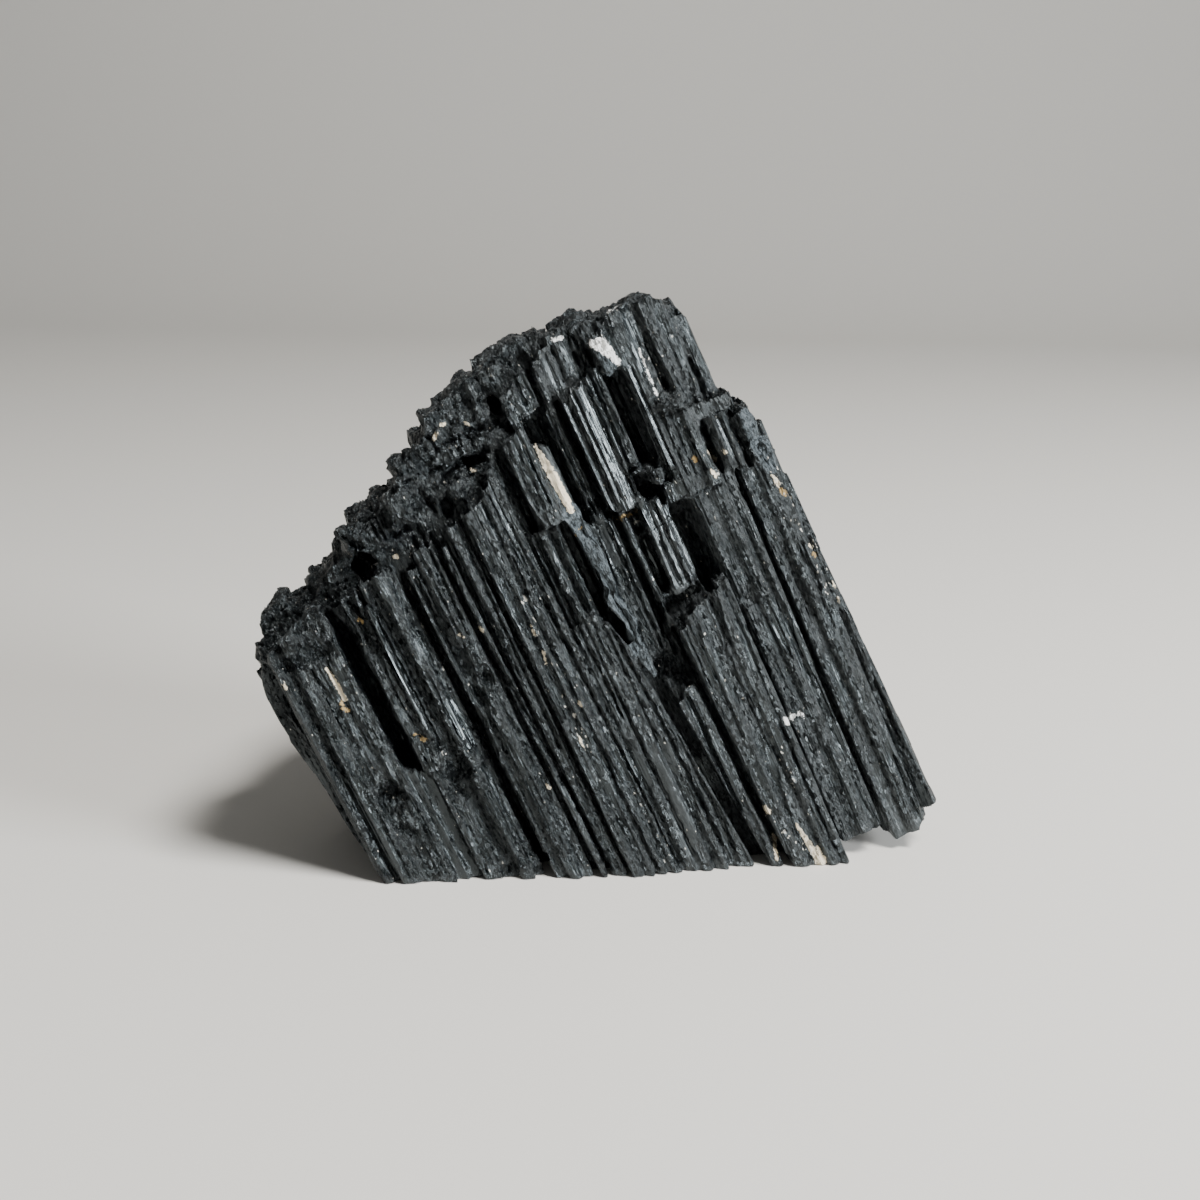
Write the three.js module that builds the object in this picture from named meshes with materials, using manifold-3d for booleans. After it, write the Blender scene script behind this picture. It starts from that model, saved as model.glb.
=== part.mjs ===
// Raw black tourmaline: a hand-sized block of parallel crystal columns that grew
// together, leaning a little to one side and broken off rough at the top.
// Units are millimetres, Z is up and the face with the clearest columns looks to -Y.

import * as THREE from 'three';
import { mergeVertices } from 'three/addons/utils/BufferGeometryUtils.js';
import Module from 'manifold-3d';

const wasm = await Module();
wasm.setup();

// Driving dimensions. Everything below is drawn in the crystals' own frame: x runs
// across the front face, y goes back into the stone and z follows the columns.
const LEAN = 24.8; // degrees that the columns lean from upright, towards -X
const YAW = 8; // degrees that the right end of the front face is turned away
const ROOT = 18; // how deep the columns of the faces reach into the stone
const DOWN = -75; // low end of a column that runs down to the base
const ABOVE = 150; // higher than the highest column
const BASE_BLOCK = 400; // size of the block that trims the base flat
const IN_FRONT = -6; // where the cuts into the front face start
const SEED = 11;

// The uneven columns inside the stone: usual width, how far neighbours overlap, and
// how far to the left, the right and the back they are laid out.
const CELL = 9;
const OVERLAP = 1.8;
const BUNDLE = { left: -64, right: 92, back: 76 };

// The columns round the sides and the back: narrowest and widest, how much wider some
// are, how far they stand out from the plan, and how deep they reach in.
const RIM = { narrow: 3.2, wide: 7, extra: 5, proudest: 4, root: 7 };

// Point on the base under the middle of the stone, from the face's foot at x = 0.
const UNDER_MIDDLE = { x: -2, y: 35 };

// Plan of the core, seen down the columns: x across, y back. The front columns and
// the columns round the sides and the back are grown on it.
const CORE_PLAN = [
  [-50, 3.4], [12, 2.8], [31, 3.4], [57.4, 3.6], [57.8, 6.4], [70, 7], [71, 10], [80.5, 11],
  [81.5, 26], [80, 44], [71, 58], [51, 69], [22, 73], [-10, 70], [-37, 62],
  [-52, 47], [-56, 30], [-54.5, 16],
];
const FIRST_SIDE = 7; // the plan's corner where the front ends and the sides begin

// Height of the broken top at the front edge, at the crest and at the back edge of
// the stone, by the distance across.
const CREST_AT = 24;
const BACK_AT = 70;
const TOP = [
  [-58, 80, 83, 68], [-47, 90, 90.5, 76], [-36, 93, 93, 80], [-26, 95.5, 97, 86],
  [-21, 97, 100.5, 88], [-12, 100, 104, 92], [-6, 104, 107.5, 95], [3, 107, 112, 99],
  [8, 109, 117, 102], [13, 111, 120.5, 105], [21, 114, 124, 108], [33, 122, 127, 110],
  [40, 123, 126, 110], [47, 124, 125, 108], [54, 122, 124.5, 106], [62, 124, 124, 102],
  [69, 121, 121, 98], [74, 110, 110, 94], [76.5, 95, 95, 88], [81, 88, 88, 82],
  [88, 70, 72, 68],
];

// Columns of the front face, from left to right: left and right edge, how far they
// stand proud of the face, their low and their high end, then what is special.
const LEFT_FACE = [
  [-51.6, -47.2, 0.0, DOWN, 89.5, { turn: -1.6, edge: 1.2 }],
  [-47.2, -42.7, 0.9, DOWN, 92.0, { turn: -0.5, across: 0.3 }],
  [-42.7, -38.7, 0.2, DOWN, 93.5, {}],
  [-38.7, -34.6, 1.0, DOWN, 94.0, { turn: 0.6 }],
  [-34.6, -29.9, -3.8, 46, 92.0, { turn: 0.8 }],
  [-34.6, -31.8, -0.4, DOWN, 48.0, { turn: 0.5, across: -0.6 }],
  [-31.8, -28.6, -1.2, DOWN, 46.0, { turn: -0.4 }],
  [-29.9, -25.3, 0.7, 44, 94.0, { turn: 0.6 }],
  [-28.6, -24.4, 0.5, DOWN, 50.0, { turn: -0.4 }],
  [-25.3, -24.0, 2.0, 52, 90.0, { crown: 0.3 }],
  [-24.4, -20.5, -0.4, DOWN, 49.0, {}],
  [-24.0, -20.4, -0.1, 47, 95.0, { turn: -0.7 }],
  [-20.4, -17.0, 1.3, DOWN, 96.0, { crown: 0.3 }],
  [-17.0, -14.7, -0.7, DOWN, 94.5, {}],
];
const LEFT_MIDDLE = [
  [-12.4, -9.3, 1.2, DOWN, 93.0, { turn: -0.5 }],
  [-9.3, -6.2, 2.3, DOWN, 97.5, { crown: 0.4 }],
  [-5.6, -3.0, 1.3, DOWN, 96.0, { drift: -1.2 }],
  [-1.2, 0.3, 2.5, DOWN, 95.0, { drift: -1.4 }],
  [0.9, 4.4, 1.8, DOWN, 98.5, { drift: -0.5, turn: 0.5 }],
  [5.1, 7.8, 3.0, DOWN, 100.0, { turn: -0.5 }],
  [7.8, 10.4, 2.7, DOWN, 101.0, { turn: 0.6 }],
  [11.2, 13.5, 2.2, DOWN, 103.5, {}],
  [14.6, 17.6, 1.5, DOWN, 107.5, { drift: -0.8, crown: 0.3 }],
  [18.2, 21.0, 0.9, DOWN, 62.0, { turn: 0.5, drift: -0.6 }],
  [21.0, 24.6, 1.0, DOWN, 64.0, { turn: 0.7, crown: 0.4 }],
  [24.6, 28.5, 0.4, DOWN, 60.0, { turn: 1.2, drift: -0.6 }],
  [31.0, 40.0, -0.8, DOWN, 52.0, { turn: 1.8, drift: -11.6 }],
  [18.0, 21.8, -0.6, 58, 88.0, { turn: 1.6 }],
  [21.8, 25.2, -2.6, 60, 87.0, { turn: 2.4 }],
];
const RECESS = [
  [28.4, 31.8, -4.6, 40, 87.5, { crown: 0.6, drift: -1.0, back: 0.3 }],
  [31.9, 37.6, -3.8, 45, 83.5, { turn: 1.0, across: -0.3 }],
  [39.8, 41.3, -3.6, 50, 84.0, { crown: 0.5 }],
  [41.3, 44.4, -6.6, 50, 80.0, {}],
  [44.4, 47.3, -2.8, 58, 83.5, { crown: 0.4 }],
  [47.3, 50.2, -3.4, 58, 82.5, { turn: 0.6 }],
  [50.2, 51.6, -5.2, 58, 80.0, {}],
  [31.8, 39.0, -6.0, 8, 48.0, { across: 0.5 }],
  [39.0, 51.5, -7.4, 30, 60.0, { across: 0.3 }],
];
const RIGHT_FACE = [
  [43.5, 46.8, -0.3, DOWN, 34.0, { turn: -0.6, drift: -10.1, across: 0.5 }],
  [40.2, 43.3, 0.4, DOWN, 37.0, { drift: -3.7, across: -0.3 }],
  [45.2, 48.3, 1.0, DOWN, 51.0, { turn: -0.6, drift: -4.0, across: 0.5 }],
  [44.3, 47.6, 1.3, DOWN, 54.0, { crown: 0.3, across: 0.3 }],
  [47.6, 51.2, 0.8, DOWN, 55.5, { turn: 0.4 }],
  [51.5, 54.6, 1.1, DOWN, 56.5, { crown: 0.3 }],
  [54.6, 57.2, 0.6, DOWN, 58.0, { turn: 0.9 }],
  [58.1, 62.9, -3.8, -24, 78.5, { turn: -0.4, across: -0.2 }],
  [62.9, 66.6, -3.2, -26, 80.0, { crown: 0.4 }],
  [66.6, 69.3, -3.5, -27, 80.5, { turn: 0.5 }],
  [71.2, 75.4, -6.4, -31, 78.0, { turn: -0.6 }],
  [75.4, 80.6, -5.8, -32, 81.0, { crown: 0.5, across: -0.3 }],
  [80.6, 85.8, -7.4, -28, 76.0, { turn: 2.0, across: -1.2, edge: 1.2, drift: -3.6 }],
];
const UPPER_FACE = [
  [20.9, 27.3, 0.8, 87, 111.5, { across: 0.5, turn: 0.8 }],
  [27.4, 31.0, -1.0, 87.5, 106.5, { crown: 0.5, across: -0.7 }],
  [33.6, 36.2, -2.6, 83, 113.0, {}],
  [38.2, 40.8, 0.0, 83.5, 114.6, { turn: -0.5, across: 0.5 }],
  [40.8, 43.6, 0.7, 83, 115.6, { crown: 0.4, across: 0.4 }],
  [43.6, 46.3, 0.2, 83.5, 117.0, { turn: 0.7, across: 0.4 }],
  [46.5, 49.5, -1.2, 88, 118.0, { turn: 0.5 }],
  [30.0, 33.2, -2.2, 114, 124.0, { across: 0.4 }],
  [34.7, 37.8, -1.8, 114.5, 126.0, { turn: -0.5 }],
  [37.8, 41.0, -2.4, 115, 127.5, {}],
  [41.0, 44.6, -3.0, 116, 128.5, { across: -0.4 }],
  [44.6, 48.6, -4.0, 117, 127.0, { turn: 0.8 }],
  [24.0, 30.0, -1.6, 114.5, 121.5, { across: 0.3 }],
  [54.6, 59.7, -2.4, 84, 127.5, { crown: 0.6, across: 0.2 }],
  [59.7, 62.2, -3.8, 99, 128.5, {}],
  [62.2, 64.0, -4.7, 99, 127.5, {}],
  [64.0, 67.4, -3.4, 99, 128.0, { turn: -0.5 }],
  [67.4, 70.2, -4.0, 99, 126.0, { crown: 0.4, across: -0.4 }],
  [70.2, 71.3, -5.6, 99, 123.0, {}],
  [71.3, 74.3, -6.2, 98, 120.0, { across: -0.9, edge: 0.9 }],
  [58.6, 62.6, -2.6, 79, 99.5, { turn: -0.5 }],
  [62.6, 66.4, -2.2, 78.5, 99.0, { crown: 0.4 }],
  [68.2, 71.2, -4.0, 79, 95.0, { crown: 0.9 }],
  [71.2, 74.2, -4.6, 79, 96.0, { crown: 0.9, across: -0.4 }],
  [64.8, 75.5, -2.0, 94.8, 99.6, { turn: 1.2, across: -0.1 }],
  [52.2, 55.4, -2.4, 79, 84.5, { crown: 0.4 }],
  [55.4, 58.4, -2.0, 78.5, 85.5, { turn: 0.5 }],
];

// Wide hollows in the core, in which lower columns stand: left and right edge, low
// and high end, depth.
const RECESSES = [
  [-34.6, -29.9, 46, 94, 6],
  [25.3, 57.6, 40, 84, 11.5],
  [18.4, 20.9, 86, 109, 8],
  [30.8, 54.6, 83.9, 118, 8.5],
  [27.4, 30.9, 105, 113, 9],
  [58, 76, 76, 95, 8],
];

// Deep gaps and holes in the grown front, measured in the same way, then how far a
// gap drifts sideways as it rises.
const HOLLOWS = [
  [-14.7, -12.4, 6, 92, 8.5],
  [-24.2, -17.2, 95.5, 101.5, 9],
  [5.2, 17.0, 108, 111.2, 9],
  [1.2, 4.2, 100, 104, 6],
  [25.4, 28.3, 62, 87.3, 15],
  [37.4, 40.8, -45, 50, 7, -8.7],
  [28.7, 32.1, 50, 65, 8, -3.4],
  [46.4, 51.2, 83.5, 89.5, 10],
  [49.6, 52.8, 90, 116, 15],
  [52.8, 54.5, 92, 115, 7],
  [51.8, 57.4, 58, 77, 12],
  [42.3, 43.9, -45, 51, 8, -2.9],
  [57.2, 58.1, -45, 56, 9],
  [69.3, 71.2, -45, 80, 13],
  [62.3, 63.9, 103, 108, 9],
  [21.2, 24.0, 115, 118, 7],
  [66.4, 68.0, 84, 92, 9],
];

// Broad breaks: on the right shoulder, under the right foot, and at the left foot and
// up the left side.
const BREAKS = [
  [75.6, 110, 97.5, 160, 90],
  [77.8, 110, 94, 160, 90],
  [81, 110, 90, 160, 90],
  [57.8, 70.3, -70, -22.5, 20],
  [70.3, 81, -70, -29.5, 22],
  [81, 110, -70, -25.5, 26],
  [-90, -53.4, -40, 38, 36],
  [-90, -53.4, 38, 80, 36, -4],
];

// Rough lumps of broken crystal: middle across, back and up, then half its size in
// the same three directions.
const LUMPS = [
  [-49, 8, 87.5, 4.5, 7, 4.5], [-44, 12, 90.5, 5.5, 9, 4.5], [-38, 13, 92.8, 5.5, 9, 4.8],
  [-32, 14, 94.6, 5, 9, 5.2], [-27, 13, 97, 4.5, 9, 5.4], [-20.8, 6, 104, 3.6, 6, 5],
  [-23.5, 17, 100.5, 4.5, 8, 5.2], [-14.5, 9, 105, 4.5, 8, 5.6], [-17, 18, 105, 5, 8, 5],
  [-7.8, 4.4, 106.8, 4, 6.5, 5.2], [-9, 17, 108, 6, 9, 4.6], [-2.6, 8.5, 112.5, 3.9, 8, 5.4],
  [2.6, 9, 113.8, 3.9, 8, 5.8], [7.4, 8, 114.5, 3.8, 7, 5.6], [9.6, 10, 119.4, 4, 8, 6.2],
  [14.4, 12, 120.6, 5.2, 9, 7], [19.6, 13, 122.6, 4.2, 9, 7], [27, 12, 126, 4.4, 9, 5.4],
  [32, 14, 127, 4.8, 9, 5.2], [37.4, 12, 126.8, 3.6, 8, 5.2], [46.8, 10, 126.6, 4.4, 8, 5],
  [51.2, 8.5, 126, 3.4, 8, 4.6], [52.1, 4, 119.2, 2.7, 5, 4.4], [57, 13, 125, 5, 9, 4.2],
  [63, 14, 124.2, 5, 9, 4.8], [69.6, 14, 119, 4.4, 9, 6], [77.3, 11, 86, 3.8, 7, 8],
  [78.6, 11, 78.4, 3.2, 6, 4.6], [62, 3.2, 101.6, 3.6, 4.5, 3], [52, 4.4, 87.8, 2.6, 5, 3.2],
  [9, 3, 105.4, 4.6, 3.6, 2.6], [19, 8, 113, 5, 6, 2.6], [38, 24, 125, 6, 8, 4.4],
  [8, 22, 117, 7, 9, 4.4], [-30, 26, 95, 7, 9, 4.4], [58, 27, 123.5, 7, 9, 4],
];
const LUMP_ROUGHNESS = 0.15;
const LUMP_ROUNDNESS = 0.55; // 0 is a block, 1 is a ball

// Small repeatable random numbers, so that the stone is the same each time.
let randomState = SEED;
function random(low = 0, high = 1) {
  randomState = (randomState * 16807) % 2147483647;
  return low + (high - low) * (randomState / 2147483647);
}

// A closed three.js geometry becomes a solid that can be joined and cut.
function solid(geometry) {
  const bare = geometry.index ? geometry.toNonIndexed() : geometry.clone();
  bare.deleteAttribute('normal');
  bare.deleteAttribute('uv');
  const merged = mergeVertices(bare, 1e-4);
  return new wasm.Manifold(new wasm.Mesh({
    numProp: 3,
    vertProperties: new Float32Array(merged.attributes.position.array),
    triVerts: new Uint32Array(merged.index.array),
  }));
}

// A solid becomes a flat-shaded three.js geometry again.
function geometryOf(body) {
  const mesh = body.getMesh();
  const geometry = new THREE.BufferGeometry();
  geometry.setAttribute('position', new THREE.BufferAttribute(mesh.vertProperties, 3));
  geometry.setIndex(new THREE.BufferAttribute(mesh.triVerts, 1));
  const flat = geometry.toNonIndexed();
  flat.computeVertexNormals();
  return flat;
}

function join(bodies) {
  return bodies.reduce((all, body) => all.add(body));
}

// One crystal column: a section in plan, drawn out from low to high. The broken top
// may slope across and back, and the column may drift sideways as it rises.
function column(section, low, high, { across = 0, back = 0, drift = 0 } = {}) {
  const shape = new THREE.Shape(section.map(([x, y]) => new THREE.Vector2(x, y)));
  const height = high - low;
  const geometry = new THREE.ExtrudeGeometry(shape, { depth: height, bevelEnabled: false });
  const frontY = Math.min(...section.map(([, y]) => y));
  const middleX = section.reduce((sum, [x]) => sum + x, 0) / section.length;
  const position = geometry.attributes.position;
  for (let i = 0; i < position.count; i += 1) {
    const rise = position.getZ(i) / height;
    const x = position.getX(i);
    const slope = across * (x - middleX) + back * (position.getY(i) - frontY);
    position.setXYZ(i, x + drift * rise, position.getY(i), low + rise * (height + slope));
  }
  return solid(geometry);
}

// Section of a column on the front face: flat, or crowned like a worn crystal, with
// its two long edges broken off a little.
function frontSection(left, right, proud, { turn = 0, crown = 0, edge = 0.5 } = {}) {
  const y = -proud;
  const section = [
    [left, ROOT], [left, y + edge + turn / 2], [left + edge, y + turn / 2],
  ];
  if (crown > 0) section.push([(left + right) / 2, y - crown]);
  section.push([right - edge, y - turn / 2], [right, y + edge - turn / 2], [right, ROOT]);
  return section;
}

function frontColumn([left, right, proud, low, high, special]) {
  return column(frontSection(left, right, proud, special), low, high, special);
}

// Height of the broken top over a point of the plan, without its roughness.
function topHeight(x, y) {
  let right = 1;
  while (right < TOP.length - 1 && TOP[right][0] < x) right += 1;
  const a = TOP[right - 1];
  const b = TOP[right];
  const t = THREE.MathUtils.clamp((x - a[0]) / (b[0] - a[0]), 0, 1);
  const [front, crest, rear] = [1, 2, 3].map((k) => THREE.MathUtils.lerp(a[k], b[k], t));
  if (y < CREST_AT) return THREE.MathUtils.lerp(front, crest, y / CREST_AT);
  return THREE.MathUtils.lerp(crest, rear, (y - CREST_AT) / (BACK_AT - CREST_AT));
}

// The broken top rises and falls in broad terraces besides its general slope.
function terrace(x, y) {
  const wave = Math.sin(x / 9 + y / 14) + Math.sin(y / 8 - x / 17);
  return 1.6 * Math.round(wave);
}

// The core is a bundle of columns of uneven size whose tops follow the broken top,
// trimmed to the plan.
function core() {
  const bundle = [];
  let y = 1;
  while (y < BUNDLE.back) {
    const depth = random(0.65, 1.25) * CELL;
    let x = BUNDLE.left - random(0, CELL);
    while (x < BUNDLE.right) {
      const width = random(0.6, 1.6) * CELL;
      const skew = random(-1.5, 1.5);
      const section = [
        [x, y], [x + width + OVERLAP, y + skew / 2],
        [x + width + OVERLAP, y + depth + OVERLAP + skew], [x, y + depth + OVERLAP],
      ];
      const middle = [x + width / 2, y + depth / 2];
      const high = topHeight(...middle) + terrace(...middle) - random(1, 4);
      const slopes = { across: random(-0.25, 0.35), back: random(-0.35, 0.3) };
      bundle.push(column(section, DOWN, high, slopes));
      x += width;
    }
    y += depth;
  }
  const outline = column(CORE_PLAN, DOWN - 1, ABOVE);
  return join(bundle).intersect(outline).subtract(join(RECESSES.map(hollow)));
}

// Columns round the sides and the back, of uneven width, placed along the plan. Some
// are broken off low and leave ledges, and some hang over a broken foot.
function rimColumns() {
  const rim = [];
  const corners = [...CORE_PLAN.slice(FIRST_SIDE), CORE_PLAN[0]];
  for (let i = 0; i < corners.length - 1; i += 1) {
    const start = new THREE.Vector2(...corners[i]);
    const end = new THREE.Vector2(...corners[i + 1]);
    const along = end.clone().sub(start).normalize();
    const out = new THREE.Vector2(along.y, -along.x);
    const length = start.distanceTo(end);
    const place = (a, b) => {
      const point = start.clone().addScaledVector(along, a).addScaledVector(out, b);
      return [point.x, point.y];
    };
    let from = 0;
    while (from < length - 2) {
      const usual = random(RIM.narrow, RIM.wide) + (random() < 0.3 ? RIM.extra : 0);
      const width = Math.min(usual, length - from);
      const to = from + width * random(0.9, 1.04);
      const proud = random(0.2, RIM.proudest);
      const edge = Math.min(0.2 * width, 1.2);
      const section = [
        place(from, -RIM.root), place(from, proud - edge),
        place(from + edge, proud + random(-0.5, 0.5)),
        place(to - edge, proud + random(-1, 0.5)),
        place(to, proud - edge), place(to, -RIM.root),
      ];
      const [x, y] = place((from + to) / 2, 0);
      const broken = random() < 0.35 ? random(10, 64) : random(0.5, 6);
      const foot = random() < 0.2 ? random(-8, 30) - 0.45 * x : DOWN;
      const high = Math.max(topHeight(x, y) - broken, foot + 25);
      rim.push(column(section, foot, high, { across: random(-0.4, 0.4) }));
      from += width;
    }
  }
  return join(rim);
}

// A lump is a rough block with rounded corners, sunk in what is around it.
function lump([x, y, z, halfWidth, halfDepth, halfHeight]) {
  const block = new THREE.BoxGeometry(2, 2, 2, 2, 2, 2);
  block.deleteAttribute('normal');
  block.deleteAttribute('uv');
  const geometry = mergeVertices(block);
  const position = geometry.attributes.position;
  const half = new THREE.Vector3(halfWidth, halfDepth, halfHeight);
  for (let i = 0; i < position.count; i += 1) {
    const corner = new THREE.Vector3().fromBufferAttribute(position, i);
    const ball = corner.clone().normalize();
    const point = corner.lerp(ball, LUMP_ROUNDNESS).multiply(half);
    point.multiplyScalar(1 + random(-LUMP_ROUGHNESS, LUMP_ROUGHNESS));
    position.setXYZ(i, x + point.x, y + point.y, z + point.z);
  }
  return solid(geometry);
}

// A cut into the stone from the front, straight-sided and flat-bottomed.
function hollow([left, right, low, high, depth, drift = 0]) {
  const section = [[left, IN_FRONT], [right, IN_FRONT], [right, depth], [left, depth]];
  return column(section, low, high, { drift });
}

// The crystals' frame in the stone's upright frame.
function uprightFrame() {
  const up = new THREE.Vector3(0, 0, 1).applyAxisAngle(
    new THREE.Vector3(0, 1, 0),
    THREE.MathUtils.degToRad(-LEAN),
  );
  const trace = new THREE.Vector3(1, 0, 0).applyAxisAngle(
    new THREE.Vector3(0, 0, 1),
    THREE.MathUtils.degToRad(YAW),
  );
  const inward = up.clone().cross(trace).normalize();
  const across = inward.clone().cross(up);
  return new THREE.Matrix4().makeBasis(across, inward, up);
}

// Keeps the outside of a solid and drops the closed hollows that lumps and columns
// leave inside: the outside is the connected skin that has the most triangles.
function outside(geometry) {
  const joined = geometry.clone();
  joined.deleteAttribute('normal');
  const skin = mergeVertices(joined, 1e-4);
  const corners = skin.index.array;
  const leader = Array.from({ length: skin.attributes.position.count }, (_, i) => i);
  const find = (i) => {
    let top = i;
    while (leader[top] !== top) top = leader[top];
    leader[i] = top;
    return top;
  };
  for (let i = 0; i < corners.length; i += 3) {
    leader[find(corners[i + 1])] = find(corners[i]);
    leader[find(corners[i + 2])] = find(corners[i]);
  }
  const size = new Map();
  for (let i = 0; i < corners.length; i += 3) {
    const name = find(corners[i]);
    size.set(name, (size.get(name) ?? 0) + 1);
  }
  const [largest] = [...size].reduce((a, b) => (b[1] > a[1] ? b : a));
  const kept = [];
  for (let i = 0; i < corners.length; i += 3) {
    if (find(corners[i]) === largest) kept.push(corners[i], corners[i + 1], corners[i + 2]);
  }
  skin.setIndex(kept);
  const flat = skin.toNonIndexed();
  flat.computeVertexNormals();
  return flat;
}

function stone() {
  const front = [...LEFT_FACE, ...LEFT_MIDDLE, ...RECESS, ...RIGHT_FACE, ...UPPER_FACE];
  const grown = join([core(), rimColumns(), ...front.map(frontColumn)]);
  const opened = grown.subtract(join([...HOLLOWS, ...BREAKS].map(hollow)));
  const whole = opened.add(join(LUMPS.map(lump)));
  const upright = solid(geometryOf(whole).applyMatrix4(uprightFrame()));
  const below = new THREE.BoxGeometry(BASE_BLOCK, BASE_BLOCK, BASE_BLOCK);
  below.translate(0, 0, -BASE_BLOCK / 2);
  return outside(geometryOf(upright.subtract(solid(below))));
}

const tourmaline = new THREE.Mesh(
  stone(),
  new THREE.MeshStandardMaterial({ color: 0x23252a, roughness: 0.42, metalness: 0 }),
);
tourmaline.name = 'tourmaline';

// The origin is under the middle of the stone, on the flat of its base.
tourmaline.geometry.translate(-UNDER_MIDDLE.x, -UNDER_MIDDLE.y, 0);

const part = new THREE.Group();
part.add(tourmaline);

export default part;
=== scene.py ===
import math

import bmesh
import bpy
import numpy as np
from mathutils import Matrix, Vector


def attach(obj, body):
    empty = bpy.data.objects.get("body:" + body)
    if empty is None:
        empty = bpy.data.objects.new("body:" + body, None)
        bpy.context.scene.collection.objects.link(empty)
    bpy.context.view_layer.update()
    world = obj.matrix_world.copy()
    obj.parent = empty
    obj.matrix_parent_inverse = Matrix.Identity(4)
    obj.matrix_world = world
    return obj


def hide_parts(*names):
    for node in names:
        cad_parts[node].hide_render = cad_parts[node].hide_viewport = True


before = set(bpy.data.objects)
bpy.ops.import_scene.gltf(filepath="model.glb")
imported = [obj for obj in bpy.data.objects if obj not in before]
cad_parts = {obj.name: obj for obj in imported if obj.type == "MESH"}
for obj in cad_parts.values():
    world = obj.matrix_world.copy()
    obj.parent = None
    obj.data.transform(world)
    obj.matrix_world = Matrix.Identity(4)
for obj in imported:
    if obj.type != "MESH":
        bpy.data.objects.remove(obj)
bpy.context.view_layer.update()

# The camera stands a little above the stone and looks slightly down on its front face,
# with a normal lens. It is tilted by about a degree, as a hand-held one is.
EYE = Vector((-0.0016, -0.4049, 0.1792))
LOOKS_DOWN = math.radians(16.15)
TILT = math.radians(0.98)

camera_data = bpy.data.cameras.new("camera")
camera_data.lens = 48
camera_data.sensor_width = 36
camera_data.clip_start = 0.01
camera = bpy.data.objects.new("camera", camera_data)
camera.matrix_world = (
    Matrix.Translation(EYE)
    @ Matrix.Rotation(math.pi / 2 - LOOKS_DOWN, 4, "X")
    @ Matrix.Rotation(TILT, 4, "Z")
)
bpy.context.scene.collection.objects.link(camera)
bpy.context.scene.camera = camera


# The floor is a plain pale matt sheet that curves up far behind the stone and becomes
# the backdrop, as in a studio.
FLOOR_HALF = 3.0
BEND_AT = 1.1
BEND_RADIUS = 0.7
BEND_STEPS = 12
BACKDROP_HEIGHT = 2.6
JUST_UNDER = -0.0001  # keeps the sheet clear of the stone's flat foot
FLOOR_COLOUR = (0.74, 0.72, 0.68, 1)


def principled(name):
    """A new material, with its node tree and its surface shader."""
    made = bpy.data.materials.new(name)
    made.use_nodes = True
    return made, made.node_tree, made.node_tree.nodes["Principled BSDF"]


bend = [i * math.pi / 2 / BEND_STEPS for i in range(BEND_STEPS + 1)]
profile = [(-FLOOR_HALF, 0)]
profile += [
    (BEND_AT + BEND_RADIUS * math.sin(a), BEND_RADIUS * (1 - math.cos(a))) for a in bend
]
profile.append((BEND_AT + BEND_RADIUS, BACKDROP_HEIGHT))
floor_mesh = bpy.data.meshes.new("floor")
floor_mesh.from_pydata(
    [(x, y, z + JUST_UNDER) for y, z in profile for x in (-FLOOR_HALF, FLOOR_HALF)],
    [],
    [(2 * i, 2 * i + 1, 2 * i + 3, 2 * i + 2) for i in range(len(profile) - 1)],
)
floor_mesh.shade_smooth()
floor = bpy.data.objects.new("floor", floor_mesh)
bpy.context.scene.collection.objects.link(floor)
board, _, board_shader = principled("pale board")
board_shader.inputs["Base Color"].default_value = FLOOR_COLOUR
board_shader.inputs["Roughness"].default_value = 0.8
floor_mesh.materials.append(board)


# Plain soft studio light: a dim pale room all round, a soft lamp overhead, and one low
# at the right that rakes across the crystals and lights their facets.
ROOM_COLOUR = (0.80, 0.80, 0.79, 1)
ROOM_STRENGTH = 0.17

world = bpy.data.worlds.new("pale room")
bpy.context.scene.world = world
world.use_nodes = True
world.node_tree.nodes["Background"].inputs["Color"].default_value = ROOM_COLOUR
world.node_tree.nodes["Background"].inputs["Strength"].default_value = ROOM_STRENGTH


def soft_lamp(name, place, aim, size, power, colour):
    data = bpy.data.lights.new(name, "AREA")
    data.size = size
    data.energy = power
    data.color = colour
    lamp = bpy.data.objects.new(name, data)
    lamp.location = place
    lamp.rotation_mode = "QUATERNION"
    lamp.rotation_quaternion = (Vector(aim) - Vector(place)).to_track_quat("-Z", "Y")
    bpy.context.scene.collection.objects.link(lamp)


soft_lamp("overhead", (0.45, -0.4, 1.15), (0, 0, 0.05), 0.36, 24, (1, 0.98, 0.95))
soft_lamp("low right", (1.25, -0.6, 0.42), (0, 0, 0.07), 0.5, 34, (0.93, 0.97, 1))


# The stone is one piece of raw black tourmaline: long crystals that grew side by side,
# broken off rough at the top. Its own frame has x across the front face, y going back
# into the stone and z along the crystals, in millimetres.
LEAN = math.radians(24.8)
YAW = math.radians(8)
FOOT = Vector((2, -35, 0))
MILLIMETRE = 0.001

along = Matrix.Rotation(-LEAN, 3, "Y") @ Vector((0, 0, 1))
trace = Matrix.Rotation(YAW, 3, "Z") @ Vector((1, 0, 0))
inward = along.cross(trace).normalized()
across = inward.cross(along)
crystal_turn = Matrix((across, inward, along)).transposed()
crystal_frame = (
    Matrix.Scale(MILLIMETRE, 4) @ Matrix.Translation(FOOT) @ crystal_turn.to_4x4()
)

# The skin is rebuilt from the solid as an even net of small faces. The net is longer
# along the crystals than across them, because the crystals change slowly that way.
NET = 0.38
NET_STRETCH = 3.0


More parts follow.
